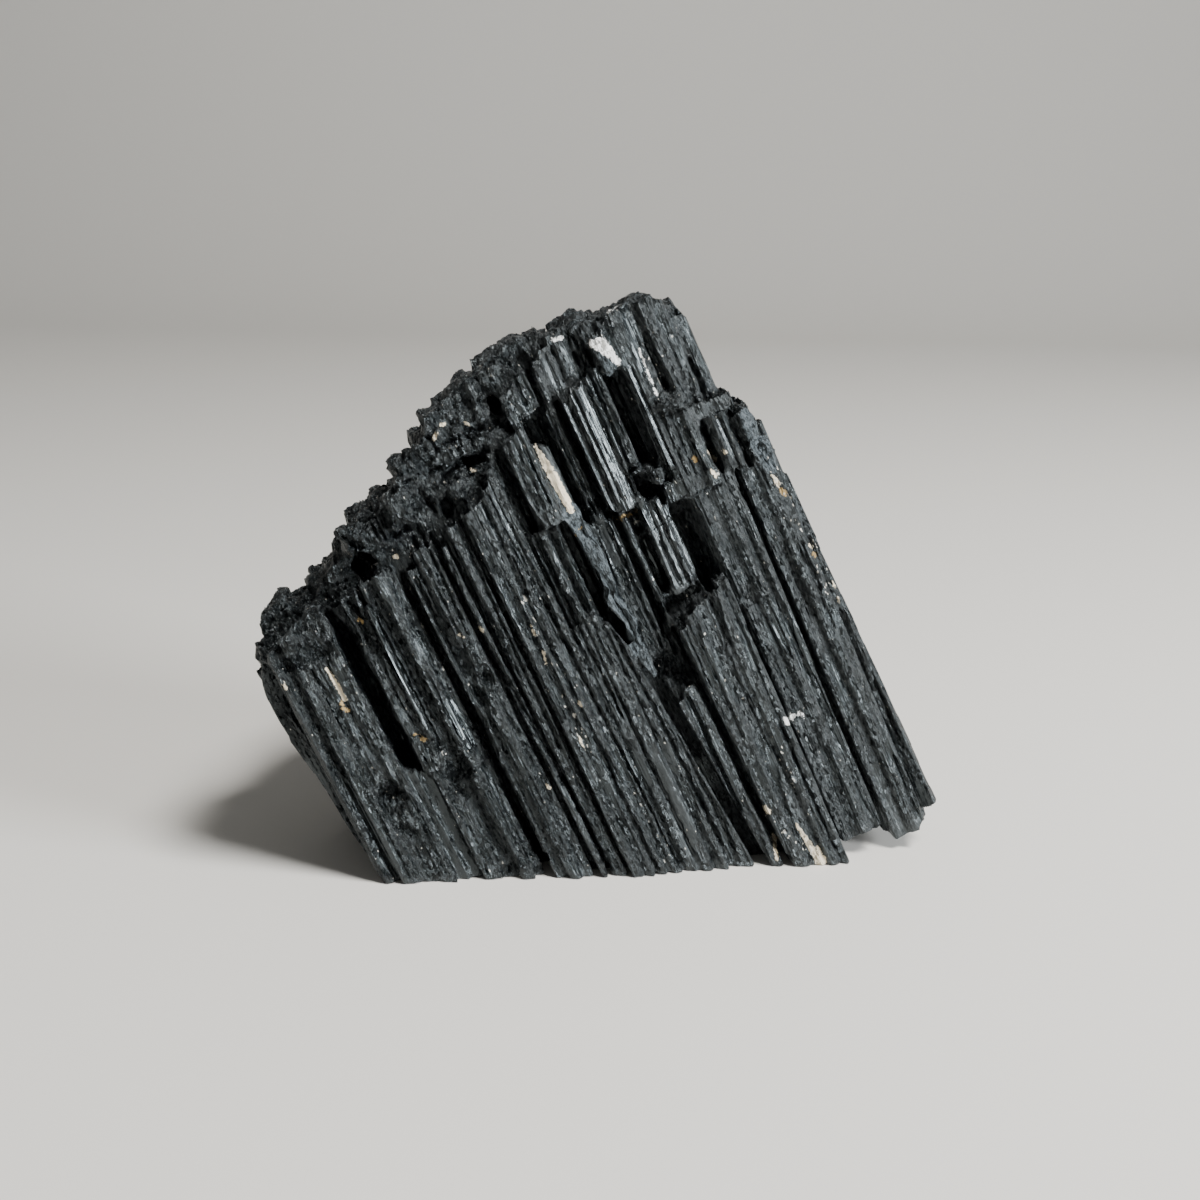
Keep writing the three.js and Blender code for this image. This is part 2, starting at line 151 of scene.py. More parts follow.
def finished_mesh(mesh, name, *finishes):
    """The mesh with each finish, a function that adds one modifier, worked into it."""
    carrier = bpy.data.objects.new(name, mesh)
    bpy.context.scene.collection.objects.link(carrier)
    for add_modifier in finishes:
        add_modifier(carrier)
    depsgraph = bpy.context.evaluated_depsgraph_get()
    made = bpy.data.meshes.new_from_object(
        carrier.evaluated_get(depsgraph), preserve_all_data_layers=True, depsgraph=depsgraph
    )
    bpy.data.objects.remove(carrier)
    return made


def add_net(carrier):
    net = carrier.modifiers.new("net", "REMESH")
    net.mode = "VOXEL"
    net.voxel_size = NET
    net.adaptivity = 0


# Two small parts are added to the solid as upright slabs: a wavy ribbon of blue-grey
# vein stone in the long slanted gap, a broken slab edge whose pale colour is partly
# painted light where it catches the lamps, and the worn shoulder at the left end of the
# broken top. Each has its outline across and along, and the depths where it starts and ends.
RIBBON = [
    (27, 87.8), (27.8, 83), (28.3, 77), (28.9, 72), (29, 68), (27.6, 64.5), (28.6, 61.5),
    (29.6, 59), (29.8, 56), (28.7, 53), (28.6, 50), (29.9, 46), (31, 42), (31.8, 42),
    (32.1, 46), (31.9, 50), (32.2, 54), (33, 56.5), (32.4, 60), (31.7, 64), (32.3, 68),
    (32.2, 73), (32, 80), (31.6, 87.5),
]
SHOULDER = [
    (-44, 28), (-52.6, 28), (-53.8, 38), (-54.6, 50), (-55.4, 58), (-56.6, 67), (-56.9, 75.3),
    (-55.8, 82), (-53.4, 88.4), (-52, 91.6), (-50.4, 94.4), (-47.6, 97.5), (-45, 99),
    (-41, 99.6), (-41, 95),
]
RIBBON_DEPTHS = (-0.7, 12)
SHOULDER_DEPTHS = (5, 16)


def add_slab(body, outline, depths):
    front, back = [[body.verts.new((x, y, z)) for x, z in outline] for y in depths]
    sides = [
        body.faces.new((front[i - 1], front[i], back[i], back[i - 1])) for i in range(len(front))
    ]
    ends = [body.faces.new(front), body.faces.new(back)]
    bmesh.ops.recalc_face_normals(body, faces=sides + ends)


solid = bpy.data.meshes.new("solid")
grown = bmesh.new()
grown.from_mesh(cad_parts["tourmaline"].data)
bmesh.ops.remove_doubles(grown, verts=grown.verts, dist=1e-6)
bmesh.ops.transform(grown, matrix=crystal_frame.inverted(), verts=grown.verts)
add_slab(grown, RIBBON, RIBBON_DEPTHS)
add_slab(grown, SHOULDER, SHOULDER_DEPTHS)
bmesh.ops.scale(grown, vec=(1, 1, 1 / NET_STRETCH), verts=grown.verts)
grown.to_mesh(solid)
grown.free()
net = finished_mesh(solid, "net", add_net)
net.transform(Matrix.Diagonal((1, 1, NET_STRETCH, 1)))


# Places on the stone are given as the camera sees them, in millimetres on the plane of
# the front face: u across and v along the crystals. Each patch is a middle and two
# half sizes, and each stroke is a line of points with half its width at each.
eye = crystal_frame.inverted() @ EYE
FRONT_DEPTH = 16  # how far behind the front face a mark may still lie

# Above this line the front face turns into the broken top.
BREAK_LINE = np.array([
    (-60, 84), (-46, 90), (-30, 93.5), (-24, 96), (-7, 97.5), (0, 101), (5, 104.5),
    (15, 107.5), (20, 113), (27, 115.5), (30, 121), (40, 126), (48, 124.5), (54, 123),
    (62, 127), (90, 128),
])
BREAK_BLUR = 1.6
END_FACING = (0.45, 0.75)  # from and to: faces that look along the crystals are broken

# Crumbled patches in the front face.
CRUMBLED = [
    (-8.5, 62, 3.6, 9), (-22, 42.5, 6, 8), (-40, 40, 3.2, 9), (-27.5, 86, 2.6, 8),
    (-42, 89.5, 11, 8), (62, 102.5, 7, 2.6), (52.4, 88, 2.6, 3.6), (45.5, 59, 6.5, 4.5),
    (35.5, 40, 4, 7), (77.6, 85, 3.4, 9), (52, 117.5, 3, 4), (9.5, 104, 6.5, 3),
    (48, 88, 4, 4), (-17, 12, 8, 2), (62, 50, 4, 2), (35, 85, 3, 2.2),
]
CRUMBLED_FADE = (1.25, 0.7)  # where a patch starts and is whole, in its half sizes

# Clean, dark cleavage faces without grain, as strokes.
CLEAN = [
    [(-32.3, 48, 1.9), (-32.4, 91, 1.9)],
    [(-33.2, 15, 1.2), (-33.2, 47, 1.2)],
    [(-30.2, 15, 1.3), (-30.2, 45, 1.3)],
    [(-47.6, 26, 2), (-47.6, 50, 2)],
    [(21, -6, 2.4), (25, 24, 3)],
    [(72.5, -24, 1.4), (72.5, -5, 1.2)],
    [(26.4, 66, 1.2), (26.4, 87, 1.2)],
    [(34.8, 72.5, 1.9), (34.8, 83, 1.9)],
    [(42.9, 63, 1.3), (42.9, 82, 1.3)],
    [(72, -27, 5), (80, -27, 5), (86, -20, 4)],
    [(29.2, 88, 1.7), (29.2, 106, 1.4)],
]
CLEAN_BLUR = 0.7

# Blue-grey vein stone, as strokes. Its pale colour is partly a painted highlight on broken slab
# edges that catch the light.
VEIN_AND_SHEEN = [
    [
        (29.4, 88.5, 2.3), (29.9, 83, 2), (30.4, 75, 1.9), (30.8, 69, 1.5), (29.9, 65, 2.1),
        (31, 60, 1.4), (31.5, 56, 1.6), (30.5, 53, 1.8), (30.4, 50, 1.7), (31.1, 46, 1),
        (31.5, 42, 0.4),
    ],
    [(51.8, 119, 1.6), (51.8, 115.4, 1.8)],
    [(77.4, 92, 1.8), (77.6, 85, 2.4), (78, 77.5, 1.6)],
]
VEIN_ROUGHNESS = 0.7
VEIN_BLUR = 0.3

# Gaps between the crystals of the front face, as strokes, and how deep each one goes.
GROOVES = [
    ([(-32.2, 49, 1.9), (-31.9, 55, 2.3), (-32.6, 62, 1.9), (-32, 69, 2.4), (-32.8, 76, 1.8),
      (-32.2, 83, 2.3), (-33, 88, 1.7), (-33.2, 91, 1)], 7),
    ([(-25.7, 58, 0.3), (-25.7, 84, 0.3)], 0.7),
    ([(-23.7, 50, 0.3), (-23.7, 88, 0.4)], 0.9),
    ([(-22.3, 56, 0.3), (-22.3, 86, 0.3)], 0.7),
    ([(-20.2, 42, 0.25), (-20.2, 88, 0.35)], 0.7),
    ([(-18.7, 50, 0.25), (-18.7, 68, 0.3)], 0.6),
    ([(-13.2, 12, 1.0), (-12.9, 40, 1.0), (-12.9, 50, 1.9), (-13.7, 62, 0.5),
      (-14.1, 84, 0.7), (-14, 92, 0.2)], 3.5),
    ([(-11, 68, 0.4), (-11, 90, 0.5)], 1.1),
    ([(-9.4, 76, 0.3), (-9.4, 96, 0.3)], 0.7),
    ([(-7.7, 62, 0.3), (-7.7, 99, 0.35)], 0.8),
    ([(-5.6, 76, 0.3), (-5.2, 100, 0.5)], 1.1),
    ([(0.9, -2, 0.35), (-0.6, 30, 0.6), (-1.8, 55, 0.8), (-3, 73, 0.8), (-3.2, 98, 0.4)], 2.6),
    ([(2.5, 36, 0.4), (2.7, 66, 0.3), (3.2, 88, 0.5), (3.2, 101, 0.6)], 1.1),
    ([(5.6, 42, 0.3), (5.3, 74, 0.4), (5.2, 99, 0.4)], 0.8),
    ([(7.3, 2, 0.3), (7.3, 24, 0.3)], 0.6),
    ([(10.6, 58, 0.3), (10.4, 82, 0.35)], 0.7),
    ([(11.4, -5, 0.4), (10.9, 34, 0.3)], 0.8),
    ([(13.4, 62, 0.3), (12.8, 104, 0.4)], 0.8),
    ([(16.9, -6, 0.5), (16, 20, 0.45), (15.2, 45, 0.5), (14.3, 72, 0.4)], 2),
    ([(17.6, 58, 0.3), (17.3, 86, 0.5)], 1.1),
    ([(19.8, 36, 0.3), (19.2, 70, 0.5), (18.8, 108, 0.5)], 1.3),
    ([(20.9, 88, 1.0), (19.7, 106, 0.3)], 3),
    ([(21.4, -6, 0.3), (21.2, 44, 0.35)], 0.7),
    ([(22.7, 50, 0.3), (22.4, 84, 0.3)], 0.6),
    ([(24.8, 46, 0.3), (24.6, 84, 0.35)], 0.7),
    ([(28.9, -6, 0.5), (28, 30, 0.5), (26.4, 58, 0.5)], 1.3),
    ([(31.5, -8, 0.4), (30, 34, 0.4)], 0.8),
    ([(22.3, 92, 0.25), (22.1, 111, 0.25)], 0.5),
    ([(24, 92, 0.25), (23.8, 112, 0.25)], 0.5),
    ([(25.5, 92, 0.25), (25.4, 113, 0.25)], 0.5),
    ([(31.9, 90, 0.9), (31.9, 112, 0.8)], 3.5),
    ([(34.4, 86, 0.4), (34.2, 112, 0.4)], 1.1),
    ([(36.8, 84, 0.8), (36.8, 94, 0.7), (37, 101, 0.9), (37, 114, 1.1)], 4),
    ([(40.1, 84, 0.3), (40.1, 115, 0.3)], 0.7),
    ([(45, 86, 0.35), (45, 117, 0.35)], 0.8),
    ([(46.6, 88, 0.4), (46.6, 118, 0.4)], 1.1),
    ([(49.4, 91, 0.35), (49.4, 117, 0.35)], 0.9),
    ([(34.3, 121, 0.6), (34.3, 125, 0.6)], 2.5),
    ([(41.1, 118, 0.3), (41.1, 127, 0.3)], 0.9),
    ([(45.5, 119, 0.4), (45.5, 126, 0.4)], 2),
    ([(46.9, 119, 0.35), (46.9, 126, 0.35)], 2),
    ([(48.2, 119, 0.4), (48.2, 125, 0.4)], 2),
    ([(30.2, 117, 0.3), (30.2, 124, 0.3)], 0.7),
    ([(32.1, 117, 0.3), (32.1, 124, 0.3)], 0.7),
    ([(58.4, 85, 0.3), (58.4, 102, 0.3)], 0.7),
    ([(60.4, 84, 0.3), (60.4, 100, 0.3)], 0.6),
    ([(62.8, 84, 0.3), (62.8, 100, 0.35)], 0.7),
    ([(66, 84, 0.9), (66.1, 93, 0.8)], 3),
    ([(73.8, 81, 1.1), (73.2, 94, 0.7)], 4),
    ([(70.1, 101, 0.6), (70.2, 110, 0.5)], 2.5),
    ([(62.6, 105.5, 1.3), (62.6, 119, 0.9)], 1.3),
    ([(38.6, 46, 0.8), (38.6, 84, 0.6)], 3),
    ([(42.7, 62, 1.4), (42.7, 74.5, 1.4)], 4),
    ([(42.8, 77, 1.4), (42.8, 81.5, 1.4)], 4),
    ([(46.5, 60, 0.35), (46.5, 82, 0.35)], 0.9),
    ([(48.5, 60, 0.3), (48.5, 82, 0.35)], 0.9),
    ([(35.9, 48, 0.4), (35.9, 82, 0.4)], 1.1),
    ([(53.6, 59, 1.4), (53.6, 76, 1.4)], 4),
    ([(40.9, -18, 0.4), (40.7, 28, 0.5), (40.5, 51, 0.8)], 3),
    ([(42.6, 8, 0.25), (42.6, 50, 0.3)], 0.6),
    ([(45.1, 18, 0.25), (45.1, 50, 0.3)], 0.6),
    ([(50.1, 12, 0.3), (50, 40, 0.3), (51.3, 46, 0.35), (51.3, 54, 0.4)], 0.8),
    ([(51.8, -2, 0.3), (51.5, 12, 0.3)], 0.6),
    ([(54.9, -20, 0.3), (54.9, 16, 0.3)], 0.7),
    ([(57.6, 19, 0.35), (57.6, 24.5, 0.35)], 1.3),
    ([(57.6, 30, 0.3), (57.6, 48, 0.55)], 2),
    ([(73.1, 39, 0.3), (73, 57, 0.4)], 0.8),
    ([(74.6, -12, 0.3), (74.6, 20, 0.25)], 0.6),
    ([(77.8, 44, 0.3), (77.8, 57, 0.4)], 0.8),
    ([(81.3, -3, 0.4), (81.4, 16, 0.3)], 1.3),
    ([(5.5, 109, 0.9), (11, 110.2, 1.2), (17, 110.9, 1)], 5),
    ([(-12.5, 101.6, 0.8), (-7.5, 101.2, 0.6)], 3),
    ([(-46, 95.6, 0.1), (-39, 94.8, 0.3), (-33, 93.8, 0.2), (-25, 94.3, 0.3)], 1.6),
    ([(-43, 97.3, 0.1), (-37, 97, 0.35), (-30, 96.8, 0.2), (-24, 96.3, 0.3)], 1.8),
    ([(-14.8, 102, 0.3), (-14.8, 108, 0.3)], 1.4),
    ([(-13.4, 102, 0.35), (-13.4, 108.5, 0.3)], 1.6),
    ([(-12, 101.5, 0.4), (-12, 107.5, 0.3)], 1.6),
    ([(-22.5, 105.5, 0.6), (-21, 102, 0.4), (-22, 100, 0.8)], 2),
    ([(-1.1, 109, 0.4), (-0.4, 106, 0.8), (0, 102.5, 0.6)], 2.5),
    ([(-6, 111.5, 0.3), (0, 112, 0.3), (5, 111, 0.5)], 2),
    ([(6, 119.5, 0.5), (6.6, 115.5, 0.5)], 2),
    ([(8, 116, 0.3), (14, 116.5, 0.4), (20, 116, 0.9)], 1.8),
    ([(22, 127.5, 0.3), (22.6, 124, 0.5), (24, 122.5, 0.3)], 2),
]
GROOVE_START = 0.15  # how far outside a groove's edge its wall starts
GROOVE_SLOPE = 3.2  # how steep its walls are, down to its full depth
GROOVE_WOBBLE = 0.25  # how far its edges stray
GROOVE_WAVES = [(0.9, 1.1), (-1.3, 0.37)]  # by u and v, in radians for each millimetre

# Long clean facets of the front face that are turned to the right: the middle across,
# where each starts and ends along the crystals, and half its width.
TURNED = [
    (38.9, 84, 114, 0.8), (43.5, 84, 116.5, 0.9), (45.7, 84, 117, 0.5),
    (41.2, 86, 115, 0.6), (34.9, 88, 112, 0.3), (45.4, 60, 82, 0.7), (47.5, 60, 82, 0.6),
    (50.2, 60, 76, 0.7), (40.9, 60, 82, 0.35), (43.7, 118, 126, 0.5), (38.5, 118, 126, 0.6),
    (-24.7, 55, 88, 0.55), (-17.6, 46, 60, 0.45), (-16.2, 46, 60, 0.45), (25.4, 92, 110, 0.3),
    (56, 81, 84, 0.8), (56, 88, 114, 0.7), (14.2, 88, 104, 0.35), (10.5, 90, 100, 0.3),
    (70.4, 84, 94, 0.4), (-9.9, 78, 96, 0.3), (36.5, 0, 34, 0.7),
]
TURN_SLOPE = 0.5
TURN_SWAY = 0.14  # how much the slope changes to and fro along a facet
TURN_SWAY_RATE = 0.45  # how fast, in radians for each millimetre
TURN_REACH = 2  # how far from the facet a point may lie


def stroke_distance(u, v, stroke):
    """How far each place is inside a stroke's edge, and how far to one side of its line."""
    inside = np.full(len(u), -np.inf)
    side = np.zeros(len(u))
    for (u0, v0, w0), (u1, v1, w1) in zip(stroke, stroke[1:]):
        du, dv = u1 - u0, v1 - v0
        length = math.hypot(du, dv)
        t = np.clip(((u - u0) * du + (v - v0) * dv) / length**2, 0, 1)
        away = np.hypot(u - u0 - t * du, v - v0 - t * dv)
        nearer = w0 + t * (w1 - w0) - away > inside
        inside[nearer] = (w0 + t * (w1 - w0) - away)[nearer]
        side[nearer] = (((u - u0) * dv - (v - v0) * du) / length)[nearer]
    return inside, side


def read_vectors(mesh, key):
    values = np.empty(len(mesh.vertices) * 3, np.float32)
    mesh.vertices.foreach_get(key, values)
    return values.reshape(-1, 3).astype(float)


def smooth(low, high, values):
    t = np.clip((values - low) / (high - low), 0, 1)
    return t * t * (3 - 2 * t)


def write_attribute(mesh, name, values):
    made = mesh.attributes.new(name, "FLOAT", "POINT")
    made.data.foreach_set("value", np.asarray(values, np.float32))


def seen_places(place):
    """Where the camera sees each point of the stone, on the plane of the front face."""
    nearness = (place[:, 1] - eye.y) / -eye.y
    u = eye.x + (place[:, 0] - eye.x) / nearness
    v = eye.z + (place[:, 2] - eye.z) / nearness
    return u, v


def rough_amount(place, normal):
    """1 where the stone is broken or crumbled, 0 on the sides of the crystals."""
    u, v = seen_places(place)
    above = v - np.interp(u, BREAK_LINE[:, 0], BREAK_LINE[:, 1])
    rough = smooth(-BREAK_BLUR, BREAK_BLUR, above)
    for u0, v0, wide, tall in CRUMBLED:
        away = np.hypot((u - u0) / wide, (v - v0) / tall)
        rough = np.maximum(rough, smooth(*CRUMBLED_FADE, away))
    for vein_and_sheen in VEIN_AND_SHEEN:
        inside = stroke_distance(u, v, vein_and_sheen)[0]
        rough = np.maximum(rough, VEIN_ROUGHNESS * smooth(-VEIN_BLUR, VEIN_BLUR, inside))
    rough[place[:, 1] > FRONT_DEPTH] = 0
    return np.maximum(rough, smooth(*END_FACING, np.abs(normal[:, 2])))


def groove_depth(place):
    """How deep the gaps between the crystals are at each point."""
    u, v = seen_places(place)
    first, second = [np.sin(by_u * u + by_v * v) for by_u, by_v in GROOVE_WAVES]
    stray = GROOVE_START + GROOVE_WOBBLE * first * second
    depth = np.zeros(len(u))
    for stroke, deepest in GROOVES:
        wall = (stroke_distance(u, v, stroke)[0] + stray) * GROOVE_SLOPE
        depth = np.maximum(depth, np.clip(wall, 0, deepest))
    depth[place[:, 1] > FRONT_DEPTH] = 0
    return depth


def turned_height(place):
    """How far each point of the facets that are turned to the right has to come out."""
    u, v = seen_places(place)
    height = np.zeros(len(u))
    for middle, start, end, half in TURNED:
        near = (np.abs(u - middle) < half) & (v > start) & (v < end)
        near &= place[:, 1] < FRONT_DEPTH
        level = np.median(place[near, 1])
        near &= np.abs(place[:, 1] - level) < TURN_REACH
        slope = TURN_SLOPE + TURN_SWAY * np.sin(TURN_SWAY_RATE * v[near] + 2 * middle)
        height[near] = place[near, 1] - level - slope * (u[near] - middle)
    return height


def height_over_floor(place):
    return place @ np.array(crystal_frame.to_3x3().row[2]) + crystal_frame.translation.z


def clean_amount(place, strokes):
    """1 where the strokes make the stone smooth and clean, 0 elsewhere."""
    u, v = seen_places(place)
    inside = np.max([stroke_distance(u, v, stroke)[0] for stroke in strokes], axis=0)
    inside[place[:, 1] > FRONT_DEPTH] = -CLEAN_BLUR
    return smooth(-CLEAN_BLUR, CLEAN_BLUR, inside)


# The foot of the right corner is worn round: how low it reaches, by the distance across.
CORNER_FOOT = np.array([(76, -40), (78.5, -28), (82, -26.6), (85, -24.6), (88, -22)])
CORNER_DEPTH = 20
FREE_HEIGHT = (0.0004, 0.003)  # metres over the floor where relief starts and is whole

place = read_vectors(net, "co")
lowest = np.interp(place[:, 0], CORNER_FOOT[:, 0], CORNER_FOOT[:, 1])
corner = (place[:, 1] < CORNER_DEPTH) & (place[:, 0] > CORNER_FOOT[0, 0])
place[corner, 2] = np.maximum(place[corner, 2], lowest[corner])
net.vertices.foreach_set("co", place.astype(np.float32).ravel())
net.update()
normal = read_vectors(net, "normal")
write_attribute(net, "rough", rough_amount(place, normal))
turned = [
    [(middle, start, half), (middle, end, half)] for middle, start, end, half in TURNED
]
write_attribute(net, "clean", clean_amount(place, CLEAN + turned))
write_attribute(net, "free", smooth(*FREE_HEIGHT, height_over_floor(place)))
write_attribute(net, "inset", groove_depth(place) - turned_height(place))


# The relief of the stone: ribs and splinters that follow the crystals on their sides,
# and stepped crystal ends, chips and crumbs where they are broken across.
RELIEF = {
    "Wander": 0.6,
    "Rib Width": 2.0,
    "Rib Slope": 0.2,
    "Splinter Width": 1.5,
    "Splinter Depth": 0.7,
    "Lump Size": 7.5,
    "Lump Height": 4.6,
    "Chip Size": 3.2,
    "Chip Slope": 0.3,
    "Crumb Size": 1.3,
    "Crumb Slope": 0.24,
    "End Size": 3.4,
    "End Step": 1.5,
}
RIB_LENGTH = 30  # how many times longer than wide
SPLINTER_LENGTH = 14
SPLINTERS_KEPT = 0.7  # the share of the splinters that are still in place
WANDER_SIZE = (5, 5, 14)
WANDER_LEAST = 0.35  # the share of the wander that unbroken crystals keep
CLEAN_LOSS = 0.8  # the share of the relief that clean faces lose
CRUMB_PATCH = 4  # the size of the patches that crumbs lie in
CRUMB_GAIN = 1.4
LUMP_MIDDLE = 0.15  # a lump adds nothing where its distance squared is this
END_FADE = (0.3, 0.7)  # from and to: faces that look along the crystals have steps
ROUNDING = 5  # how often the broken parts are smoothed before they get their chips


def put(tree, socket, value):
    """Joins another node's output to a socket, or writes a plain value on it."""
    if isinstance(value, bpy.types.NodeSocket):
        tree.links.new(value, socket)
    else:
        socket.default_value = value


def maths(tree, operation, *values):
    node = tree.nodes.new("ShaderNodeMath")
    node.operation = operation
    for socket, value in zip(node.inputs, values):
        put(tree, socket, value)
    return node.outputs[0]


def vectors(tree, operation, *values):
    node = tree.nodes.new("ShaderNodeVectorMath")
    node.operation = operation
    for socket, value in zip(node.inputs, values):
        put(tree, socket, value)
    return node.outputs["Value" if operation == "DOT_PRODUCT" else "Vector"]


def scaled(tree, vector, factor):
    node = tree.nodes.new("ShaderNodeVectorMath")
    node.operation = "SCALE"
    put(tree, node.inputs[0], vector)
    put(tree, node.inputs["Scale"], factor)
    return node.outputs["Vector"]


def blend(tree, low, high, value):
    """0 below low, 1 above high, and smooth between them."""
    node = tree.nodes.new("ShaderNodeMapRange")
    node.interpolation_type = "SMOOTHSTEP"
    put(tree, node.inputs["Value"], value)
    put(tree, node.inputs["From Min"], low)
    put(tree, node.inputs["From Max"], high)
    return node.outputs["Result"]


def noise(tree, vector, size, detail=2, roughness=0.5):
    node = tree.nodes.new("ShaderNodeTexNoise")
    put(tree, node.inputs["Vector"], vector)
    put(tree, node.inputs["Scale"], 1 / size)
    put(tree, node.inputs["Detail"], detail)
    put(tree, node.inputs["Roughness"], roughness)
    return node.outputs["Fac"]


def noise_colour(tree, vector):
    node = tree.nodes.new("ShaderNodeTexNoise")
    put(tree, node.inputs["Vector"], vector)
    put(tree, node.inputs["Scale"], 1)
    return node.outputs["Color"]


def cells(tree, vector, dimensions="3D"):
    node = tree.nodes.new("ShaderNodeTexVoronoi")
    node.voronoi_dimensions = dimensions
    put(tree, node.inputs["Vector"], vector)
    put(tree, node.inputs["Scale"], 1)
    return node


def facets(tree, vector, size):
    """Height of a surface of small tilted facets, for a slope of 1, and their colours."""
    small = scaled(tree, vector, maths(tree, "DIVIDE", 1, size))
    cell = cells(tree, small)
    tilt = vectors(tree, "SUBTRACT", cell.outputs["Color"], (0.5, 0.5, 0.5))
    inside = vectors(tree, "SUBTRACT", small, cell.outputs["Position"])
    height = vectors(tree, "DOT_PRODUCT", tilt, inside)
    height = maths(tree, "MULTIPLY", height, maths(tree, "MULTIPLY", size, 2))
    return height, cell.outputs["Color"]


def product(tree, *values):
    result = values[0]
    for value in values[1:]:
        result = maths(tree, "MULTIPLY", result, value)
    return result


def total(tree, *values):
    result = values[0]
    for value in values[1:]:
        result = maths(tree, "ADD", result, value)
    return result


stone, stone_tree, stone_shader = principled("black tourmaline")

relief = bpy.data.node_groups.new("crystal relief", "GeometryNodeTree")
relief.interface.new_socket("Geometry", in_out="INPUT", socket_type="NodeSocketGeometry")
relief.interface.new_socket("Geometry", in_out="OUTPUT", socket_type="NodeSocketGeometry")
relief_sockets = {
    name: relief.interface.new_socket(name, in_out="INPUT", socket_type="NodeSocketFloat")
    for name in RELIEF
}
given = relief.nodes.new("NodeGroupInput").outputs
point = relief.nodes.new("GeometryNodeInputPosition").outputs[0]
facing = relief.nodes.new("GeometryNodeInputNormal").outputs[0]


def move_points(geometry, **where):
    node = relief.nodes.new("GeometryNodeSetPosition")
    put(relief, node.inputs["Geometry"], geometry)
    for name, value in where.items():
        put(relief, node.inputs[name], value)
    return node.outputs["Geometry"]


def named_value(name):
    node = relief.nodes.new("GeometryNodeInputNamedAttribute")
    node.data_type = "FLOAT"
    node.inputs["Name"].default_value = name
    return node.outputs["Attribute"]


rough = named_value("rough")
free = named_value("free")
uneven = maths(relief, "SUBTRACT", 1, product(relief, named_value("clean"), CLEAN_LOSS))
smooth_side = product(relief, maths(relief, "SUBTRACT", 1, rough), uneven)

blur = relief.nodes.new("GeometryNodeBlurAttribute")
blur.data_type = "FLOAT_VECTOR"
put(relief, blur.inputs["Value"], point)
blur.inputs["Iterations"].default_value = ROUNDING
put(relief, blur.inputs["Weight"], product(relief, rough, free))
rounded = move_points(given["Geometry"], Position=blur.outputs["Value"])

wander_place = vectors(relief, "DIVIDE", point, WANDER_SIZE)
wander = vectors(relief, "SUBTRACT", noise_colour(relief, wander_place), (0.5, 0.5, 0.5))
wander = vectors(relief, "MULTIPLY", wander, (1, 1, 0))
loose = total(relief, product(relief, rough, 1 - WANDER_LEAST), WANDER_LEAST)
wander = scaled(relief, wander, product(relief, free, loose, given["Wander"]))
wandered = move_points(rounded, Offset=wander)
sideways = vectors(relief, "NORMALIZE", vectors(relief, "MULTIPLY", facing, (1, 1, 0)))

rib_place = vectors(relief, "MULTIPLY", point, (1, 1, 1 / RIB_LENGTH))
ribs = product(relief, facets(relief, rib_place, given["Rib Width"])[0], given["Rib Slope"])

splinter_place = vectors(relief, "MULTIPLY", point, (1, 1, 1 / SPLINTER_LENGTH))
splinter_place = scaled(
    relief, splinter_place, maths(relief, "DIVIDE", 1, given["Splinter Width"])
)
splinter = cells(relief, splinter_place).outputs["Color"]
lost = maths(
    relief, "SUBTRACT", vectors(relief, "DOT_PRODUCT", splinter, (1, 0, 0)), SPLINTERS_KEPT
)
lost = maths(relief, "MAXIMUM", lost, 0)
splinters = product(relief, lost, given["Splinter Depth"], -1 / (1 - SPLINTERS_KEPT))

crumbs = product(relief, facets(relief, point, given["Crumb Size"])[0], given["Crumb Slope"])
crumb_patches = blend(relief, 0.35, 0.6, noise(relief, point, CRUMB_PATCH))
crumbs = product(relief, crumbs, crumb_patches, CRUMB_GAIN)
chips = product(relief, facets(relief, point, given["Chip Size"])[0], given["Chip Slope"])
lump_place = scaled(relief, point, maths(relief, "DIVIDE", 1, given["Lump Size"]))
from_middle = cells(relief, lump_place).outputs["Distance"]
lumps = maths(relief, "SUBTRACT", LUMP_MIDDLE, maths(relief, "POWER", from_middle, 2))
lumps = product(relief, lumps, given["Lump Height"])

end_place = vectors(relief, "MULTIPLY", point, (1, 1, 0))
end_place = scaled(relief, end_place, maths(relief, "DIVIDE", 1, given["End Size"]))
end_colour = cells(relief, end_place, "2D").outputs["Color"]
ends = product(
    relief,
    vectors(relief, "DOT_PRODUCT", end_colour, (-0.5, -0.5, 0)),
    given["End Step"],
    blend(relief, *END_FADE, vectors(relief, "DOT_PRODUCT", facing, (0, 0, 1))),
)

along_side = scaled(
    relief, sideways, product(relief, smooth_side, total(relief, ribs, splinters))
)
broken = product(relief, rough, uneven, total(relief, crumbs, chips, lumps))
broken = scaled(relief, facing, broken)
stepped = relief.nodes.new("ShaderNodeCombineXYZ")
put(relief, stepped.inputs["Y"], named_value("inset"))
put(relief, stepped.inputs["Z"], product(relief, rough, ends))
offset = vectors(relief, "ADD", along_side, broken)
offset = vectors(relief, "ADD", offset, stepped.outputs[0])
offset = scaled(relief, offset, free)

plain = relief.nodes.new("GeometryNodeRealizeInstances")
put(relief, plain.inputs["Geometry"], move_points(wandered, Offset=offset))
covered = relief.nodes.new("GeometryNodeSetMaterial")
put(relief, covered.inputs["Geometry"], plain.outputs["Geometry"])
covered.inputs["Material"].default_value = stone
relief_out = relief.nodes.new("NodeGroupOutput")
put(relief, relief_out.inputs["Geometry"], covered.outputs["Geometry"])


def add_relief(carrier):
    made = carrier.modifiers.new("relief", "NODES")
    made.node_group = relief
    for name, value in RELIEF.items():
        made[relief_sockets[name].identifier] = float(value)
